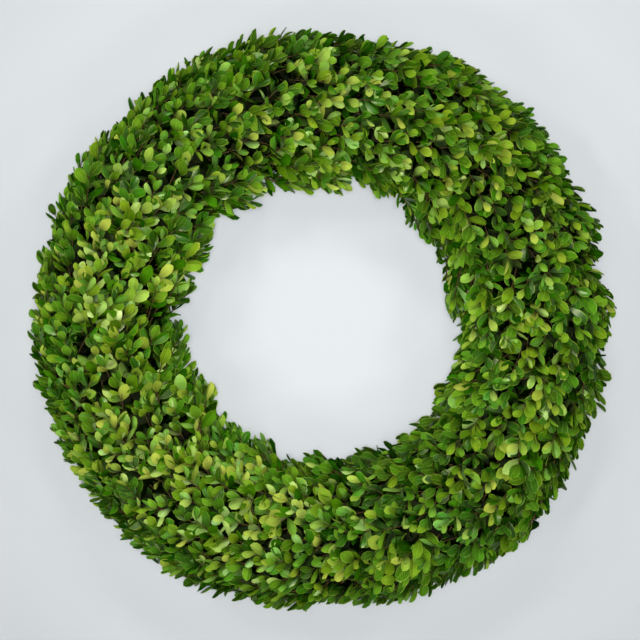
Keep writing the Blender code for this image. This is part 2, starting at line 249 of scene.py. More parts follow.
# The underside is paler as box undersides are, and its brighter tones are also painted light for light
# shining through the leaf.
under_side, under_shader = leaf_material(
    "matt_box_leaf_underside",
    tones=[(0.0, "2c5a04"), (0.35, "4e8208"), (0.65, "7ea826"), (1.0, "bad06c")],
    rib_colour="c6d060",
    edge_colour="c8d264",
    rib_strength=0.25,
    edge_strength=0.5,
    roughness=0.5,
)
under_shader.inputs["Specular IOR Level"].default_value = 0.06
under_shader.inputs["Specular Tint"].default_value = linear("e2ecb0")

# Leaves deeper on the twig take a dull copy whose darker tones are painted shade.
inner_leaf, inner_shader = leaf_material(
    "dull_inner_leaf_painted_shade",
    tones=[(0.0, "0a3204"), (0.35, "1c5604"), (0.65, "3a7a0a"), (1.0, "628f1c")],
    rib_colour="6c8a20",
    edge_colour="7f9a2c",
    rib_strength=0.15,
    edge_strength=0.4,
    roughness=0.6,
)
inner_shader.inputs["Specular IOR Level"].default_value = 0.0
print("leaf materials:", upper_side.name, under_side.name, inner_leaf.name)

# %% [markdown]
# ## Bark, the shaded inside and wire
# Young box twigs are square, ridged and tan to olive brown. Deep inside, the stems run round the ring, and
# their colour is darkened almost to black as painted shade. Their streaks come from the place in the ring's
# cross-section, bent a little by a slow noise, so they follow the ring all round. Florist's wire is thin iron
# wire in dark green enamel, worn paler where it has been pulled over the stems.

# %% Bark
BARK_GRAIN_PER_METRE = 900
BARK_RELIEF = 0.2 * MM

bark, bark_tree, bark_shader = new_material("box_twig_bark")
bark_place = add_node(bark_tree, "ShaderNodeTexCoord", output="Object")
bark_grain = add_node(
    bark_tree,
    "ShaderNodeTexNoise",
    inputs={"Vector": bark_place, "Scale": BARK_GRAIN_PER_METRE, "Detail": 4.0},
)
bark_stops = [(0.3, "2c210f"), (0.55, "54411f"), (0.75, "6b5c2a")]
bark_colour = add_node(bark_tree, "ShaderNodeValToRGB", inputs={"Fac": bark_grain}, stops=bark_stops)
bark_tree.links.new(bark_colour, bark_shader.inputs["Base Color"])
bark_bump = add_node(
    bark_tree, "ShaderNodeBump", inputs={"Height": bark_grain, "Strength": 0.5, "Distance": BARK_RELIEF}
)
bark_tree.links.new(bark_bump, bark_shader.inputs["Normal"])
bark_shader.inputs["Roughness"].default_value = 0.8
bark_shader.inputs["Specular IOR Level"].default_value = 0.3
print("bark:", bark.name)

# %% Shaded inside
STEMS_PER_METRE = 330
STEM_RELIEF = 2 * MM
WANDER_PER_METRE = 14
WANDER = (0.03, 0.03, 0.03)

shaded_inside, shade_tree, shade_shader = new_material("shaded_inner_stems")
shade_place = add_node(shade_tree, "ShaderNodeTexCoord", output="Object")
shade_height = add_node(shade_tree, "ShaderNodeSeparateXYZ", inputs={"Vector": shade_place}, output="Z")
shade_flat = add_node(
    shade_tree, "ShaderNodeVectorMath", {"operation": "MULTIPLY"}, {0: shade_place, 1: (1, 1, 0)}, "Vector"
)
shade_radius = add_node(shade_tree, "ShaderNodeVectorMath", {"operation": "LENGTH"}, {0: shade_flat}, "Value")
section = add_node(shade_tree, "ShaderNodeCombineXYZ", inputs={"X": shade_radius, "Y": shade_height})
wander = add_node(
    shade_tree,
    "ShaderNodeTexNoise",
    inputs={"Vector": shade_place, "Scale": WANDER_PER_METRE},
    output="Color",
)
bent = add_node(
    shade_tree, "ShaderNodeVectorMath", {"operation": "MULTIPLY_ADD"}, {0: wander, 1: WANDER, 2: section}
)
stems = add_node(
    shade_tree, "ShaderNodeTexNoise", inputs={"Vector": bent, "Scale": STEMS_PER_METRE, "Detail": 2.0}
)
# Near-black colours: painted shade deep inside the ring.
shade_stops = [(0.35, "060a03"), (0.5, "121608"), (0.62, "24200e"), (0.75, "342c14")]
shade_colour = add_node(shade_tree, "ShaderNodeValToRGB", inputs={"Fac": stems}, stops=shade_stops)
shade_tree.links.new(shade_colour, shade_shader.inputs["Base Color"])
shade_bump = add_node(
    shade_tree, "ShaderNodeBump", inputs={"Height": stems, "Strength": 0.9, "Distance": STEM_RELIEF}
)
shade_tree.links.new(shade_bump, shade_shader.inputs["Normal"])
shade_shader.inputs["Roughness"].default_value = 0.9
shade_shader.inputs["Specular IOR Level"].default_value = 0.1
print("inside:", shaded_inside.name)

# %% Wire
WIRE_WEAR_PER_METRE = 350

wire, wire_tree, wire_shader = new_material("enamelled_florist_wire")
wire_place = add_node(wire_tree, "ShaderNodeTexCoord", output="Object")
wire_wear = add_node(
    wire_tree,
    "ShaderNodeTexNoise",
    inputs={"Vector": wire_place, "Scale": WIRE_WEAR_PER_METRE, "Detail": 3.0},
)
wire_stops = [(0.3, "15301f"), (0.6, "22452c"), (0.8, "35593a")]
wire_colour = add_node(wire_tree, "ShaderNodeValToRGB", inputs={"Fac": wire_wear}, stops=wire_stops)
wire_tree.links.new(wire_colour, wire_shader.inputs["Base Color"])
wire_roughness = add_node(
    wire_tree, "ShaderNodeMapRange", inputs={0: wire_wear, 1: 0.3, 2: 0.8, 3: 0.3, 4: 0.55}
)
wire_tree.links.new(wire_roughness, wire_shader.inputs["Roughness"])
print("wire:", wire.name)

# %% [markdown]
# ## Finishing a piece
# Every piece is one mesh object whose place is in its mesh. It rides on the only body and stands for the
# solid that it replaces.

# %% Helper that finishes a piece


def finish_piece(bm, name, materials, slot, *nodes):
    """Turns a bmesh into a finished piece that stands for the named nodes."""
    mesh = bpy.data.meshes.new(name)
    bm.to_mesh(mesh)
    bm.free()
    for material in materials:
        mesh.materials.append(material)
    mesh.shade_smooth()
    piece = bpy.data.objects.new(name, mesh)
    bpy.context.scene.collection.objects.link(piece)
    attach(piece, "root")
    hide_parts(*nodes)
    return piece


def triangles(piece):
    return sum(len(face.vertices) - 2 for face in piece.data.polygons)


# %% [markdown]
# ## The wire frame
# Two rails of 3.2 mm wire are joined by short welded cross wires. A rail is a small circle spun once round
# the ring's axis, which gives the bent wire directly, and use_merge closes the last step onto the first.

# %% Wire frame
RAIL_STEPS = 120
WIRE_SIDES = 10
SAME_POINT = 0.01 * MM
CROSS_WIRE = 2.6 * MM
CROSS_WIRES = 9
FIRST_CROSS_WIRE = math.radians(35)

frame_mesh = bmesh.new()
for side in (-1, 1):
    rail_place = Matrix.Translation((RING_RADIUS + side * RAIL_SPACING / 2, 0, RAIL_CENTRE_Z))
    profile = bmesh.ops.create_circle(
        frame_mesh,
        segments=WIRE_SIDES,
        radius=RAIL_WIRE / 2,
        matrix=rail_place @ Matrix.Rotation(math.pi / 2, 4, "X"),
    )["verts"]
    profile_edges = list({edge for vert in profile for edge in vert.link_edges})
    bmesh.ops.spin(
        frame_mesh,
        geom=profile + profile_edges,
        axis=(0, 0, 1),
        cent=(0, 0, 0),
        angle=math.tau,
        steps=RAIL_STEPS,
        use_merge=True,
    )
bmesh.ops.remove_doubles(frame_mesh, verts=frame_mesh.verts, dist=SAME_POINT)
for number in range(CROSS_WIRES):
    cross_angle = FIRST_CROSS_WIRE + number * math.tau / CROSS_WIRES
    lay_down = Matrix.Translation((0, 0, RAIL_CENTRE_Z)) @ Matrix.Rotation(math.pi / 2, 4, "Y")
    bmesh.ops.create_cone(
        frame_mesh,
        cap_ends=True,
        segments=WIRE_SIDES,
        radius1=CROSS_WIRE / 2,
        radius2=CROSS_WIRE / 2,
        depth=RAIL_SPACING,
        matrix=ring_place(cross_angle) @ lay_down,
    )
bmesh.ops.recalc_face_normals(frame_mesh, faces=frame_mesh.faces)
frame_piece = finish_piece(frame_mesh, "frame_rails", [wire], "wire", "wire_frame")
print("frame rails:", triangles(frame_piece), "triangles")

# %% [markdown]
# ## The ties
# The wire goes three times round a bunch's stems and both rails and is pulled tight, so it runs flat under
# the frame and round the corners of the stems. A curve through the corners, given a bevel, is a wire at
# once.

# %% Wire ties
TIE_HALF_WIDTH = 19.9 * MM
TIE_BOTTOM = 0.6 * MM
TIE_TOP = 19.95 * MM
TIE_WIRE = 1.15 * MM
TIE_TURNS = 3
TIE_ADVANCE = 1.2 * MM
# One turn of wire, as shares of the half width and of the height.
UNDER_THE_RAILS = [(-1, 0.06), (-0.93, 0.0), (0.93, 0.0), (1, 0.06)]
OVER_THE_STEMS = [(1, 0.83), (0.86, 1.0), (-0.86, 1.0), (-1, 0.83)]
TIE_CORNERS = UNDER_THE_RAILS + OVER_THE_STEMS


def wire_mesh(name, paths, thickness, sides):
    """Round wires through lists of (point, relative thickness), as one bmesh."""
    curve = bpy.data.curves.new(name, "CURVE")
    curve.dimensions = "3D"
    curve.bevel_depth = thickness / 2
    curve.bevel_resolution = sides
    curve.use_fill_caps = True
    for path in paths:
        spline = curve.splines.new("POLY")
        spline.points.add(len(path) - 1)
        for point, (place, relative) in zip(spline.points, path):
            point.co = (*place, 1)
            point.radius = relative
    holder = bpy.data.objects.new(name, curve)
    made = bmesh.new()
    evaluated = holder.to_mesh()
    made.from_mesh(evaluated)
    holder.to_mesh_clear()
    bpy.data.objects.remove(holder)
    bpy.data.curves.remove(curve)
    bmesh.ops.remove_doubles(made, verts=made.verts, dist=SAME_POINT)
    bmesh.ops.recalc_face_normals(made, faces=made.faces)
    return made


def tie_path(number):
    """Three turns round the stems and rails, each a little further along the ring than the last."""
    place = ring_place(tie_angle(number))
    path = []
    total = TIE_TURNS * len(TIE_CORNERS)
    for step in range(total + 1):
        x, z = TIE_CORNERS[step % len(TIE_CORNERS)]
        along = (step / total - 0.5) * TIE_TURNS * TIE_ADVANCE
        height = TIE_BOTTOM + z * (TIE_TOP - TIE_BOTTOM)
        path.append((place @ Vector((x * TIE_HALF_WIDTH, along, height)), 1.0))
    return path


for number in range(BUNCHES):
    tie_mesh = wire_mesh("tie", [tie_path(number)], TIE_WIRE, 1)
    tie_piece = finish_piece(
        tie_mesh, f"tie_turns_{number + 1:02d}", [wire], "wire", f"wire_tie_{number + 1:02d}"
    )
print("ties:", BUNCHES, "of", triangles(tie_piece), "triangles")

# %% [markdown]
# ## One leaf
# A box leaf is oval, widest just past its middle, narrow at the stalk and round or faintly notched at the
# tip. A grid of a few faces is pulled into that outline, then cupped, folded along its midrib, arched and
# twisted. A copy turned over makes the underside. The two share their rim, so the leaf is one closed, thin
# lens. The rim is marked sharp, or smooth shading would round the leaf like a bean. Thousands of copies
# follow, so the outer leaves keep to 40 faces. Those half under them have the same outline with 20, and the
# hidden inner ones have 12.

# %% Leaf shapes
LEAF_TRAITS = ("tone", "warmth", "depth")
# From stalk to tip: how far along the leaf, and the share of its half width there.
LEAF_OUTLINE = [(0.0, 0.06), (0.19, 0.55), (0.43, 0.96), (0.68, 0.98), (0.89, 0.64), (1.0, 0.24)]
PLAIN_OUTLINE = [(0.0, 0.08), (0.3, 0.82), (0.72, 0.94), (1.0, 0.36)]
TIP_ROUNDING = 0.04
LEAF_THICKNESS = 0.018
LEAF_ASPECT = 0.545
OUTER_COLUMNS = 4
INNER_COLUMNS = 2
TIP_NOTCH = 0.01


def new_leaf_mesh():
    """An empty bmesh with the layers that every mesh of leaves carries."""
    bm = bmesh.new()
    bm.loops.layers.uv.new("Leaf")
    for trait in LEAF_TRAITS:
        bm.verts.layers.float.new(trait)
    bm.faces.layers.int.new("side")
    return bm


def leaf_shape(outline, columns, cup, fold, arch, twist, widest, notch=0.0):
    """A leaf one unit long from its stalk at the origin along +Y, its waxed side towards +Z."""
    bm = new_leaf_mesh()
    rows = len(outline) - 1
    bmesh.ops.create_grid(bm, x_segments=columns, y_segments=rows, size=0.5, calc_uvs=True)
    # Only the midrib is creased here. The underside is a copy, turned over.
    for edge in bm.edges:
        edge.smooth = any(abs(vert.co.x) > 0.01 for vert in edge.verts)
    for face in bmesh.ops.duplicate(bm, geom=bm.faces[:])["geom"]:
        if isinstance(face, bmesh.types.BMFace):
            face.material_index = 1
    bmesh.ops.reverse_faces(bm, faces=[face for face in bm.faces if face.material_index == 1])
    for vert in bm.verts:
        across = 2 * vert.co.x
        row = round((vert.co.y + 0.5) * rows)
        along, half = outline[row]
        along += widest * along * (1 - along)
        if row == rows:
            along -= TIP_ROUNDING * across**2 + notch * (1 - abs(across))
        height = -cup * (across * half) ** 2 - fold * abs(across) * half - arch * along**2
        if not vert.is_boundary:
            height += LEAF_THICKNESS / 2 * (-1 if vert.link_faces[0].material_index else 1)
        place = Vector((across * half * LEAF_ASPECT / 2, along, height))
        vert.co = Matrix.Rotation(twist * along, 3, "Y") @ place
    bmesh.ops.remove_doubles(bm, verts=bm.verts, dist=0.001)
    for edge in bm.edges:
        if len({face.material_index for face in edge.link_faces}) == 2:
            edge.smooth = False
    return bm


LEAF_BENDS = [
    {"cup": 0.05, "fold": 0.1, "arch": 0.12, "twist": 0.1, "widest": 0.05},
    {"cup": 0.02, "fold": 0.15, "arch": 0.2, "twist": -0.15, "widest": -0.05},
    {"cup": -0.04, "fold": 0.09, "arch": 0.06, "twist": 0.25, "widest": 0.15},
    {"cup": 0.1, "fold": 0.05, "arch": 0.16, "twist": 0.05, "widest": 0.1},
    {"cup": 0.03, "fold": 0.12, "arch": 0.26, "twist": -0.1, "widest": 0.2},
    {"cup": 0.07, "fold": 0.07, "arch": -0.08, "twist": -0.25, "widest": 0.0},
    {"cup": 0.05, "fold": -0.1, "arch": 0.12, "twist": 0.15, "widest": 0.1},
]
OUTER_LEAVES = [
    leaf_shape(LEAF_OUTLINE, OUTER_COLUMNS, notch=TIP_NOTCH * (number % 3), **bend)
    for number, bend in enumerate(LEAF_BENDS)
]
MIDDLE_LEAVES = [leaf_shape(LEAF_OUTLINE, INNER_COLUMNS, **bend) for bend in LEAF_BENDS]
INNER_LEAVES = [leaf_shape(PLAIN_OUTLINE, INNER_COLUMNS, **bend) for bend in LEAF_BENDS]
for place, shapes in (("an outer", OUTER_LEAVES), ("a middle", MIDDLE_LEAVES), ("an inner", INNER_LEAVES)):
    print("faces on", place, "leaf:", len(shapes[0].faces))

# %% [markdown]
# ## Where the sprigs go
# The tips of the sprigs lie on a rounded ring. Round its cross-section they stand in staggered rows, and each
# leans well over towards clockwise, some fanning left and some right. Neither edge is a true circle: tufts
# reach out with notches between them, and here and there one sprig strays a little further than the rest.
# Fresher and deeper greens lie in broad patches.

# %% Sprig places
TIP_HALF_WIDTH = 58.2 * MM
TIP_INNER_HALF_WIDTH = 63.2 * MM
TIP_HALF_HEIGHT = 45 * MM
TIP_CENTRE_Z = 40 * MM
SPRIG_SPACING = 13.6 * MM
LOWEST_SPRIG = math.radians(-46)
ROW_STAGGER = 0.5
LOOSE_ALONG = 0.28
LOOSE_ACROSS = 0.13
# Tufts and notches of the hole's edge and of the rim, in order round the ring: the ring angle and the width
# in degrees, and how far each moves the tips in mm. Above zero they reach out of the ring of foliage.
HOLE_BUMPS = [
    (11, 6, 20), (22, 4, -5), (31, 4, 4), (43, 6, 9), (59, 6, -7), (79, 4, -19), (85, 4, 9),
    (98, 4, 12), (107, 5, -29), (118, 4, -4), (124, 4, 2), (135, 6, -13), (153, 5, 8), (162, 3, -8),
    (168, 3, 13), (176, 6, -29), (202, 4, -4), (212, 7, 8), (222, 5, -7), (234, 4, 4), (240, 3, -3),
    (246, 4, 11), (251, 5, -12), (264, 3, -5), (270, 4, 9), (276, 5, -19), (289, 4, 5),
    (297, 5, -10), (307, 4, -4), (322, 6, -11), (328, 4, 4), (345, 6, -4),
]
RIM_BUMPS = [
    (11, 5, -13), (19, 4, 3), (30, 5, -4), (42, 4, 3), (60, 8, 4), (83, 9, -4), (108, 4, -3),
    (114, 4, 4), (134, 6, -6), (163, 6, -4), (198, 5, -3), (216, 4, -3), (234, 5, 5), (243, 4, 3),
    (272, 7, -7), (284, 4, 3), (311, 8, 10), (336, 5, -4), (354, 5, -7),
]
# Patches: the ring angle, the angle round the section and the width in degrees, and the change of tone.
TONE_PATCHES = [
    (312, 90, 28, -0.1),
    (298, 20, 35, -0.25),
    (305, 160, 30, -0.32),
    (135, 90, 25, -0.15),
    (140, 160, 30, 0.05),
    (45, 160, 20, -0.14),
    (95, 150, 25, 0.22),
    (0, 160, 25, 0.12),
    (205, 90, 35, 0.05),
]
PATCH_SECTION_WIDTH = 50
SEED = 11
rng = random.Random(SEED)


def bump_at(angle, centre, width):
    """1 at a centre, falling smoothly to nothing beyond a width. The centre and width are in degrees."""
    away = (math.degrees(angle) - centre + 180) % 360 - 180
    return math.exp(-((away / width) ** 2))


def reach(angle, bumps):
    """How much further the tips reach at this angle, for a list of tufts and notches."""
    return sum(depth * MM * bump_at(angle, centre, width) for centre, width, depth in bumps)


def tip_wall(angle, phi):
    """(distance out, height) of the ring of tips. Phi runs round its section from the rim over the front."""
    if math.cos(phi) < 0:
        half_width = TIP_INNER_HALF_WIDTH + reach(angle, HOLE_BUMPS)
    else:
        half_width = TIP_HALF_WIDTH + reach(angle, RIM_BUMPS)
    return half_width * math.cos(phi), TIP_CENTRE_Z + TIP_HALF_HEIGHT * math.sin(phi)


def sprig_places():
    """(ring angle, angle round the section) of every sprig's tip."""
    places = []
    highest = math.pi - LOWEST_SPRIG
    mean_radius = (TIP_HALF_WIDTH + TIP_HALF_HEIGHT) / 2
    rows = round(mean_radius * (highest - LOWEST_SPRIG) / SPRIG_SPACING) + 1
    for row in range(rows):
        phi = LOWEST_SPRIG + (highest - LOWEST_SPRIG) * row / (rows - 1)
        count = round(math.tau * (RING_RADIUS + TIP_HALF_WIDTH * math.cos(phi)) / SPRIG_SPACING)
        for step in range(count):
            loose = rng.uniform(-LOOSE_ALONG, LOOSE_ALONG)
            angle = (step + row * ROW_STAGGER + loose) * math.tau / count
            places.append((angle, phi + rng.uniform(-LOOSE_ACROSS, LOOSE_ACROSS)))
    return places


PLACES = sprig_places()
print("sprigs:", len(PLACES))

# %% [markdown]
# ## One sprig
# Box leaves grow in opposite pairs, each pair turned a quarter from the last. Each leaf leaves the twig at
# a slant with its waxed side towards the tip. Leaves near the tip are young and small. On a made wreath the
# outermost leaves are combed down, so they show their faces and not their ends, and turn a little up to the
# light.

# %% Sprig rules
# For each pair from the tip down: its place in mm, its slant in degrees and its relative size.
PAIR_PLACES = [0, 6, 13, 21, 30, 41]
PAIR_SLANTS = [18, 34, 42, 47, 52, 56]
PAIR_SIZES = [0.74, 0.94, 1.04, 1.06, 1.0, 0.95]
PAIR_SHAPES = [OUTER_LEAVES] * 2 + [MIDDLE_LEAVES] + [INNER_LEAVES] * 3
# The first pairs from the tip are waxed and lit. The rest take the dull inner leaf, whose darker colour is
# painted shade.
WAXED_LIT_PAIRS = 3
LEAF_LENGTH = 16.6 * MM
SPRIG_LEAN = math.radians(62)
LEAN_SPREAD = 7
FAN_SPREAD = 20
# How far leaves are combed down, face out and turn up to the light, and how unevenly they do so.
COMBED = 0.5
FACE_ON = 1.1
UPTURNED = 0.4
TURNED_OVER = 0.12
SCATTER = 0.28
WIDTH_SPREAD = 0.15


def sprig_axes(angle, phi):
    """The outward direction at a sprig, and the way the sprig points."""
    turn = Matrix.Rotation(angle, 3, "Z")
    normal = turn @ Vector((math.cos(phi) / TIP_HALF_WIDTH, 0, math.sin(phi) / TIP_HALF_HEIGHT)).normalized()
    clockwise = turn @ Vector((0, -1, 0))
    across = normal.cross(clockwise)
    lean = SPRIG_LEAN + math.radians(rng.gauss(0, LEAN_SPREAD))
    fan = math.radians(rng.gauss(0, FAN_SPREAD))
    sideways = clockwise * math.cos(fan) + across * math.sin(fan)
    return normal, (normal * math.cos(lean) + sideways * math.sin(lean)).normalized()


def leaf_matrix(root, normal, axis, turn, slant, size):
    """The matrix that sets one leaf on its twig."""
    front = (normal - axis * normal.dot(axis)).normalized()
    radial = front * math.cos(turn) + axis.cross(front) * math.sin(turn)
    along = axis * math.cos(slant) + radial * math.sin(slant)
    face = axis * math.sin(slant) - radial * math.cos(slant)
    along = (along - normal * max(0, along.dot(normal)) * COMBED).normalized()
    to_light = (normal + Vector((0, 0, UPTURNED * max(0, normal.z)))).normalized()
    shown = 1 if face.dot(to_light) > rng.uniform(-TURNED_OVER, TURNED_OVER) else -1
    face += to_light * shown * FACE_ON
    face = (face - along * face.dot(along)).normalized()
    face = Matrix.Rotation(rng.gauss(0, SCATTER), 3, along) @ face
    along = Matrix.Rotation(rng.gauss(0, SCATTER), 3, face) @ along
    turned = Matrix((along.cross(face), along, face)).transposed().to_4x4()
    width = size * rng.uniform(1 - WIDTH_SPREAD, 1 + WIDTH_SPREAD)
    return Matrix.Translation(root) @ turned @ Matrix.Diagonal((width, size, size, 1))


print("leaves on a sprig:", 2 * len(PAIR_PLACES))

# %% Tone of a sprig
# How much lighter in tone the foliage is towards one side of the ring. Then the painted light on the front
# and along the crest, which is stronger towards one side of the crest, and the painted shade that deepens the
# tone on the rim.
BRIGHT_SIDE = math.radians(200)
BRIGHT_SIDE_GAIN = 0.05
FRONT_PAINTED_LIGHT = 0.16
FRONT_LEVEL = 0.4
RIM_PAINTED_SHADE = 0.1
CREST_PAINTED_LIGHT = 0.1
BRIGHT_CREST = math.radians(230)
BRIGHT_CREST_GAIN = 0.05
# Two noises, slow and fast.
DRIFTS_PER_METRE = 14
DRIFT_GAIN = 0.14
SPOTS_PER_METRE = 45
SPOT_GAIN = 0.17


def tone_with_painted_light(place, phi):
    """How much fresher a place's tone is than the rest, including painted light on the front and crest and
    painted shade on the rim: most on the front and at the lower left.
    """
    angle = math.atan2(place.y, place.x)
    crest = max(0, math.sin(phi)) ** 4
    # The front and crest terms are painted light, and the rim term is painted shade.
    front = FRONT_PAINTED_LIGHT * (math.sin(phi) - FRONT_LEVEL)
    tone = BRIGHT_SIDE_GAIN * math.cos(angle - BRIGHT_SIDE) + front - RIM_PAINTED_SHADE * max(0, math.cos(phi))
    tone += (CREST_PAINTED_LIGHT + BRIGHT_CREST_GAIN * math.cos(angle - BRIGHT_CREST)) * crest
    for round_ring, round_section, width, amount in TONE_PATCHES:
        tone += amount * bump_at(angle, round_ring, width) * bump_at(phi, round_section, PATCH_SECTION_WIDTH)
    drift = DRIFT_GAIN * noise.noise(place * DRIFTS_PER_METRE)
    return tone + drift + SPOT_GAIN * noise.noise(place * SPOTS_PER_METRE)


front_tone = tone_with_painted_light(ring_place(0).translation, math.pi / 2)
print("tone on the front at the right-hand side:", round(front_tone, 2))

# %% [markdown]
# ## Every bunch
# A sprig belongs to the bunch whose sector its middle stands in. Its leaves go into that bunch's leaf mesh,
# and its twig runs on down to the tie. A leaf that would cross the table or leave the ring's outline is
# trimmed off, as a maker trims a wreath.

# %% Bounds of a bunch
WREATH_RADIUS = 256 * MM
HOLE_RADIUS = 106 * MM
FOLIAGE_TOP = 97 * MM
# From the table up to this height a bunch's sector leans clockwise, over the tie of the bunch before it.
CONE_RISE = 25 * MM
CONE_SHIFT = math.radians(8.5)
TAIL_HALF_LENGTH = 4 * MM
SHELTERED = 0.82


def bunch_of(place):
    """The bunch whose sector holds this place."""
    angle = math.atan2(place.y, place.x)
    shift = CONE_SHIFT * min(1, max(0, place.z / CONE_RISE))
    first = FIRST_TIE - TAIL_HALF_LENGTH / RING_RADIUS
    return math.ceil((angle + shift - first) / PITCH) % BUNCHES


def fits(bm):
    """Whether a leaf stays clear of the table, the hole and the outline."""
    for vert in bm.verts:
        radius = math.hypot(vert.co.x, vert.co.y)
        if not (HOLE_RADIUS < radius < WREATH_RADIUS and TABLE_CLEARANCE < vert.co.z < FOLIAGE_TOP):
            return False
    return True


def as_share(value):
    """The value, kept between 0 and 1."""
    return min(1, max(0, value))


def openness(place):
    """How open to the light a place is, which sets the painted shade on leaves: 1 at the ring of tips, and 0
    once SHELTERED of the way in from it.
    """
    out = (math.hypot(place.x, place.y) - RING_RADIUS) / TIP_HALF_WIDTH
    from_middle = math.hypot(out, (place.z - TIP_CENTRE_Z) / TIP_HALF_HEIGHT)
    return as_share((from_middle - SHELTERED) / (1 - SHELTERED))


print("the middle of the right-hand side belongs to bunch", bunch_of(ring_place(0).translation) + 1)

# %% Put a leaf in its bunch
# The slot of the dull inner leaf, whose darker colour is painted shade.
DULL_SHADED_LEAF = 2

leaf_meshes = [new_leaf_mesh() for _ in range(BUNCHES)]
leaf_counts = [0] * BUNCHES
carrier = bpy.data.meshes.new("leaf_carrier")


def add_leaf(number, shapes, matrix, tone, warmth, waxed):
    """Copies a leaf shape into a bunch's mesh, with its own traits. A leaf without wax is an old one: it is
    dull, and its darker colour is painted shade.
    """
    leaf = rng.choice(shapes).copy()
    bmesh.ops.transform(leaf, matrix=matrix, verts=leaf.verts)
    if fits(leaf):
        layers = [leaf.verts.layers.float[trait] for trait in LEAF_TRAITS]
        side_layer = leaf.faces.layers.int["side"]
        for vert in leaf.verts:
            for layer, value in zip(layers, (tone, warmth, openness(vert.co))):
                vert[layer] = value
        for face in leaf.faces:
            face[side_layer] = 2 * leaf_counts[number] + face.material_index
            if not waxed:
                face.material_index = DULL_SHADED_LEAF
        leaf.to_mesh(carrier)
        leaf_meshes[number].from_mesh(carrier)
        leaf_counts[number] += 1
    leaf.free()


print("meshes for the leaves:", len(leaf_meshes))

# %% Build a sprig
LOWEST_STEM = 3 * MM
# A range holds the least and the most of what is drawn evenly between them, and a spread is the standard
# deviation of what is drawn from a bell curve. Strays and bends are in mm, slants in degrees and turns in
# radians. Most tips stop a little short of the ring of tips, and one here and there strays past it.
STRAY_RANGE = (-4.5, 1.0)
FAR_STRAY_MEAN = -5
FAR_STRAY_SPREAD = 5
LENGTH_RANGE = (0.85, 1.1)
BEND_RANGE = (2, 7)
SPRIG_SIZE_RANGE = (0.82, 1.17)
LEAF_SIZE_RANGE = (0.9, 1.1)
TURN_SPREAD = 0.15
SLANT_SPREAD = 6
MEAN_TONE = 0.39
SPRIG_TONE_SPREAD = 0.14
LEAF_TONE_SPREAD = 0.26
MEAN_WARMTH = 0.26
WARM_SPOTS_PER_METRE = 30
WARM_SPOT_GAIN = 0.4
SPRIG_WARMTH_SPREAD = 0.21
FRESH_IS_WARMER = 0.6
LEAF_WARMTH_SPREAD = 0.15
# A twig's first points: how far down it, its share of the bend there, and its relative thickness.
TWIG_POINTS = [(0.0, 0.0, 0.4), (0.35, 0.12, 0.6), (0.7, 0.49, 0.8)]
# Where a twig ends in the tied tail: across the ring, along it and up, in mm.
TAIL_RANGES = [(-15, 15), (-6, 3), (7, 16)]
# Its knee, half-way to the tail, is pulled back by this many mm.
KNEE_PULL = 4
BASE_THICKNESS = 1.0
KNEE_THICKNESS = 1.15
TAIL_THICKNESS = 1.25

twig_paths = [[] for _ in range(BUNCHES)]


def add_sprig(angle, phi):
    """One sprig: its pairs of leaves, and its twig down to the tie."""
    out, height = tip_wall(angle, phi)
    normal, axis = sprig_axes(angle, phi)
    stray = rng.uniform(*STRAY_RANGE) + max(0, rng.gauss(FAR_STRAY_MEAN, FAR_STRAY_SPREAD))
    tip = ring_place(angle) @ Vector((out, 0, height)) + normal * stray * MM
    tip.z = max(tip.z, LOWEST_STEM)
    length = PAIR_PLACES[-1] * MM * rng.uniform(*LENGTH_RANGE)
    number = bunch_of(tip - axis * length / 2)
    sprig_tone = MEAN_TONE + tone_with_painted_light(tip, phi) + rng.gauss(0, SPRIG_TONE_SPREAD)
    warm_spot = WARM_SPOT_GAIN * noise.noise(tip * WARM_SPOTS_PER_METRE)
    sprig_warmth = MEAN_WARMTH + warm_spot + rng.gauss(0, SPRIG_WARMTH_SPREAD)
    sprig_size = LEAF_LENGTH * rng.uniform(*SPRIG_SIZE_RANGE)
    first_turn = rng.uniform(0, math.tau)
    bend = normal * rng.uniform(*BEND_RANGE) * MM
    for pair, (place, slant, size) in enumerate(zip(PAIR_PLACES, PAIR_SLANTS, PAIR_SIZES)):
        back = place / PAIR_PLACES[-1]
        root = tip - axis * back * length - bend * back * back
        for half in (0, 1):
            turn = first_turn + pair * math.pi / 2 + half * math.pi + rng.gauss(0, TURN_SPREAD)
            tilt = math.radians(slant + rng.gauss(0, SLANT_SPREAD))
            leaf_size = sprig_size * size * rng.uniform(*LEAF_SIZE_RANGE)
            matrix = leaf_matrix(root, normal, axis, turn, tilt, leaf_size)
            tone = as_share(sprig_tone + rng.gauss(0, LEAF_TONE_SPREAD))
            warmth = as_share(sprig_warmth + FRESH_IS_WARMER * tone + rng.gauss(0, LEAF_WARMTH_SPREAD))
            add_leaf(number, PAIR_SHAPES[pair], matrix, tone, warmth, pair < WAXED_LIT_PAIRS)
    base = tip - axis * length - bend
    base.z = max(base.z, LOWEST_STEM)
    in_tail = Vector([rng.uniform(least, most) for least, most in TAIL_RANGES]) * MM
    tail = ring_place(tie_angle(number)) @ in_tail
    knee = base.lerp(tail, 0.5) - axis * KNEE_PULL * MM
    knee.z = max(knee.z, LOWEST_STEM)
    path = [(tip - axis * length * down - bend * bent, thickness) for down, bent, thickness in TWIG_POINTS]
    path += [(base, BASE_THICKNESS), (knee, KNEE_THICKNESS), (tail, TAIL_THICKNESS)]
    twig_paths[number].append(path)


shortest, longest = [round(PAIR_PLACES[-1] * share) for share in LENGTH_RANGE]
print("sprigs are", shortest, "to", longest, "mm long")

# %% Grow the sprigs
for angle, phi in PLACES:
    add_sprig(angle, phi)
print("leaves:", sum(leaf_counts), "in bunches of", min(leaf_counts), "to", max(leaf_counts))

# %% [markdown]
# ## Leaves as pieces
# Each leaf side gets a square of its own in a second UV map, so that its colours can be baked without
# overlap.

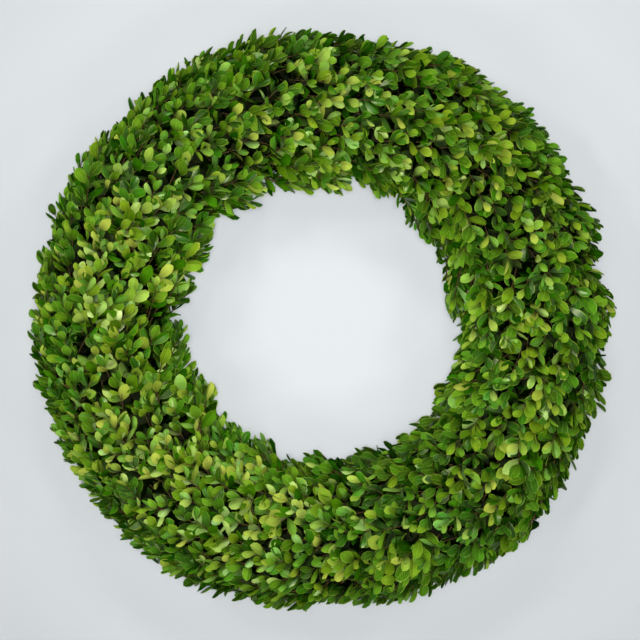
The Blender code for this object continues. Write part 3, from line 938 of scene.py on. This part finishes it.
# %% Finish the leaves
CELL_MARGIN = 0.06

for number, bunch_mesh in enumerate(leaf_meshes):
    cells = math.ceil(math.sqrt(2 * leaf_counts[number]))
    leaf_uv = bunch_mesh.loops.layers.uv["Leaf"]
    bake_uv = bunch_mesh.loops.layers.uv.new("OFBake")
    side_layer = bunch_mesh.faces.layers.int["side"]
    for face in bunch_mesh.faces:
        corner = Vector((face[side_layer] % cells, face[side_layer] // cells))
        for loop in face.loops:
            inner = loop[leaf_uv].uv * (1 - 2 * CELL_MARGIN) + Vector((CELL_MARGIN, CELL_MARGIN))
            loop[bake_uv].uv = (corner + inner) / cells
    node = f"bunch_{number + 1:02d}"
    leaf_sides = [upper_side, under_side, inner_leaf]
    leaves_piece = finish_piece(bunch_mesh, node + "_leaves", leaf_sides, "foliage", node)
for shape in OUTER_LEAVES + MIDDLE_LEAVES + INNER_LEAVES:
    shape.free()
bpy.data.meshes.remove(carrier)
print("last bunch of leaves:", triangles(leaves_piece), "triangles")

# %% [markdown]
# ## Twigs and the dark inside
# Behind the leaves lies a tangle of stems so dense that no light comes through. The stems themselves are thin
# curves from each tip to the tie. The tangle behind them is a rough sleeve, spun round a bunch's sector, and
# its near-black colour is painted shade.

# %% Twigs
TWIG = 1.7 * MM
TANGLE_HALF_WIDTH = 37 * MM
TANGLE_HALF_HEIGHT = 26 * MM
TANGLE_CENTRE_Z = 36 * MM
TANGLE_SIDES = 18
TANGLE_STEPS = 6
TANGLE_ROUGHNESS = 9 * MM
LUMPS_PER_METRE = 55


def tangle(number):
    """The rough mass of inner stems of one bunch, which carries the painted shade."""
    bm = bmesh.new()
    start = tie_angle(number) - PITCH
    stand = Matrix.Rotation(math.pi / 2, 4, "X")
    oval = Matrix.Diagonal((TANGLE_HALF_WIDTH, 1, TANGLE_HALF_HEIGHT, 1))
    lift = Matrix.Translation((0, 0, TANGLE_CENTRE_Z))
    bmesh.ops.create_circle(
        bm, segments=TANGLE_SIDES, radius=1, cap_ends=True, matrix=ring_place(start) @ lift @ oval @ stand
    )
    bmesh.ops.spin(
        bm,
        geom=bm.faces[:],
        axis=(0, 0, 1),
        cent=(0, 0, 0),
        angle=PITCH,
        steps=TANGLE_STEPS,
        use_duplicate=False,
    )
    bmesh.ops.recalc_face_normals(bm, faces=bm.faces)
    bm.normal_update()
    for vert in bm.verts:
        vert.co += vert.normal * noise.noise(vert.co * LUMPS_PER_METRE) * TANGLE_ROUGHNESS
    return bm


for number in range(BUNCHES):
    node = f"bunch_{number + 1:02d}"
    twigs_mesh = wire_mesh("twigs", twig_paths[number], TWIG, 0)
    inside = tangle(number)
    for face in inside.faces:
        face.material_index = 1
    inside_data = bpy.data.meshes.new("inside")
    inside.to_mesh(inside_data)
    inside.free()
    twigs_mesh.from_mesh(inside_data)
    bpy.data.meshes.remove(inside_data)
    twigs_piece = finish_piece(twigs_mesh, node + "_twigs", [bark, shaded_inside], "foliage", node)
print("last bunch of twigs:", triangles(twigs_piece), "triangles")

# %% [markdown]
# ## Table, light and camera
# The wreath lies on a pale table whose faint glow is painted light, so that shadows on it stay pale. A spot
# straight above lights the front of the ring and the middle of the table. A ring of small softboxes round it
# gives every leaf a lit and a shaded half, a little stronger from the top left. The table's painted glow
# grows outwards as the lamps' light falls off, and runs up to a pale wall, which only the camera sees. The
# lens is long and stands straight above, so the ring keeps its true outline.

# %% Table
ROUND_SIDES = 96
GLOW_COLOUR = "f2faff"
GLOW_CENTRE = (-0.03, -0.1, 0)
# The table's painted glow: how far from its centre in metres, and how strong.
GLOW_STEPS = [(0.27, 0.2), (0.45, 0.29), (0.6, 0.43), (0.75, 0.475), (1.6, 0.565), (3.1, 0.745)]
WALL_RADIUS = 5.5


def stage_piece(bm, name, material):
    """An object of the stage that isn't part of the wreath."""
    data = bpy.data.meshes.new(name)
    bm.to_mesh(data)
    bm.free()
    data.materials.append(material)
    made = bpy.data.objects.new(name, data)
    bpy.context.scene.collection.objects.link(made)
    return made


acrylic, acrylic_tree, acrylic_shader = new_material("table_painted_glow")
acrylic_place = add_node(acrylic_tree, "ShaderNodeTexCoord", output="Object")
from_centre = add_node(
    acrylic_tree,
    "ShaderNodeVectorMath",
    {"operation": "DISTANCE"},
    {0: acrylic_place, 1: GLOW_CENTRE},
    "Value",
)
glow = GLOW_STEPS[0][1]
for (near, dim), (far, bright) in zip(GLOW_STEPS, GLOW_STEPS[1:]):
    step_range = {0: from_centre, 1: near, 2: far, 3: 0.0, 4: bright - dim}
    rise = add_node(acrylic_tree, "ShaderNodeMapRange", inputs=step_range)
    glow = add_node(acrylic_tree, "ShaderNodeMath", {"operation": "ADD"}, {0: rise, 1: glow})
# The glow is painted light that lifts the shadows on the table and grows outwards.
acrylic_tree.links.new(glow, acrylic_shader.inputs["Emission Strength"])
acrylic_shader.inputs["Emission Color"].default_value = linear(GLOW_COLOUR)
acrylic_shader.inputs["Base Color"].default_value = linear("babdc4")
acrylic_shader.inputs["Roughness"].default_value = 0.85
table_mesh = bmesh.new()
bmesh.ops.create_circle(table_mesh, cap_ends=True, segments=ROUND_SIDES, radius=WALL_RADIUS)
stage_piece(table_mesh, "table", acrylic)
print("table:", 2 * WALL_RADIUS, "m wide")

# %% Wall
WALL_HEIGHT = 4.0

plaster, _, plaster_shader = new_material("pale_studio_wall")
plaster_shader.inputs["Base Color"].default_value = linear("101010")
plaster_shader.inputs["Roughness"].default_value = 1.0
plaster_shader.inputs["Emission Color"].default_value = linear(GLOW_COLOUR)
plaster_shader.inputs["Emission Strength"].default_value = GLOW_STEPS[-1][1]
wall_mesh = bmesh.new()
wall_place = Matrix.Translation((0, 0, WALL_HEIGHT / 2))
bmesh.ops.create_cone(
    wall_mesh,
    segments=ROUND_SIDES,
    radius1=WALL_RADIUS,
    radius2=WALL_RADIUS,
    depth=WALL_HEIGHT,
    matrix=wall_place,
)
wall = stage_piece(wall_mesh, "wall", plaster)
wall.visible_diffuse = False
wall.visible_glossy = False
wall.visible_shadow = False
print("wall:", WALL_HEIGHT, "m high")

# %% Lamps
SPOT_POWER = 170
SPOT_PLACE = (0, 0, 2.4)
SPOT_SHAPE = {"shadow_soft_size": 0.18, "spot_size": math.radians(26), "spot_blend": 1.0}
SOFTBOXES = 6
SOFTBOX_POWER = 7.0
SOFTBOX_REACH = 1.7
SOFTBOX_SIZE = 0.35
STRONG_SIDE = math.radians(125)
STRONG_SIDE_GAIN = 0.3
ROOM_STRENGTH = 0.05


def add_light(name, kind, power, place, hex_code, **settings):
    """A lamp that looks at the middle of the wreath and isn't seen itself."""
    data = bpy.data.lights.new(name, kind)
    data.energy = power
    data.color = linear(hex_code)[:3]
    for setting, value in settings.items():
        setattr(data, setting, value)
    lamp = bpy.data.objects.new(name, data)
    lamp.location = place
    lamp.rotation_euler = (-Vector(place)).to_track_quat("-Z", "Y").to_euler()
    lamp.visible_camera = False
    bpy.context.scene.collection.objects.link(lamp)


add_light("overhead", "SPOT", SPOT_POWER, SPOT_PLACE, "fffffc", **SPOT_SHAPE)
for number in range(SOFTBOXES):
    angle = (number + 0.5) * math.tau / SOFTBOXES
    power = SOFTBOX_POWER * (1 + STRONG_SIDE_GAIN * math.cos(angle - STRONG_SIDE))
    place = (SOFTBOX_REACH * math.cos(angle), SOFTBOX_REACH * math.sin(angle), SOFTBOX_REACH)
    add_light(f"softbox_{number + 1}", "AREA", power, place, "fffef2", size=SOFTBOX_SIZE)

world = bpy.data.worlds.new("pale_room")
world.use_nodes = True
world.node_tree.nodes["Background"].inputs["Color"].default_value = linear("eef2f8")
world.node_tree.nodes["Background"].inputs["Strength"].default_value = ROOM_STRENGTH
bpy.context.scene.world = world
bpy.context.scene.view_settings.view_transform = "Standard"
print("lamps:", 1 + SOFTBOXES)

# %% Camera
PHOTO_PIXELS = 640
WREATH_PIXELS = 589
WREATH_WIDTH = 504 * MM
CAMERA_HEIGHT = 2.2
# How far the camera stands off the middle, in pixels of the picture.
CAMERA_SHIFT_X = -2
CAMERA_SHIFT_Y = 0.5
FOLIAGE_MIDDLE = 40 * MM
SENSOR = 36.0

camera_data = bpy.data.cameras.new("overhead")
camera_data.sensor_width = SENSOR
seen_width = PHOTO_PIXELS / WREATH_PIXELS * WREATH_WIDTH
camera_data.lens = SENSOR * (CAMERA_HEIGHT - FOLIAGE_MIDDLE) / seen_width
camera = bpy.data.objects.new("overhead", camera_data)
pixel = seen_width / PHOTO_PIXELS
camera.location = (CAMERA_SHIFT_X * pixel, CAMERA_SHIFT_Y * pixel, CAMERA_HEIGHT)
bpy.context.scene.collection.objects.link(camera)
bpy.context.scene.camera = camera
print("lens:", round(camera_data.lens), "mm")
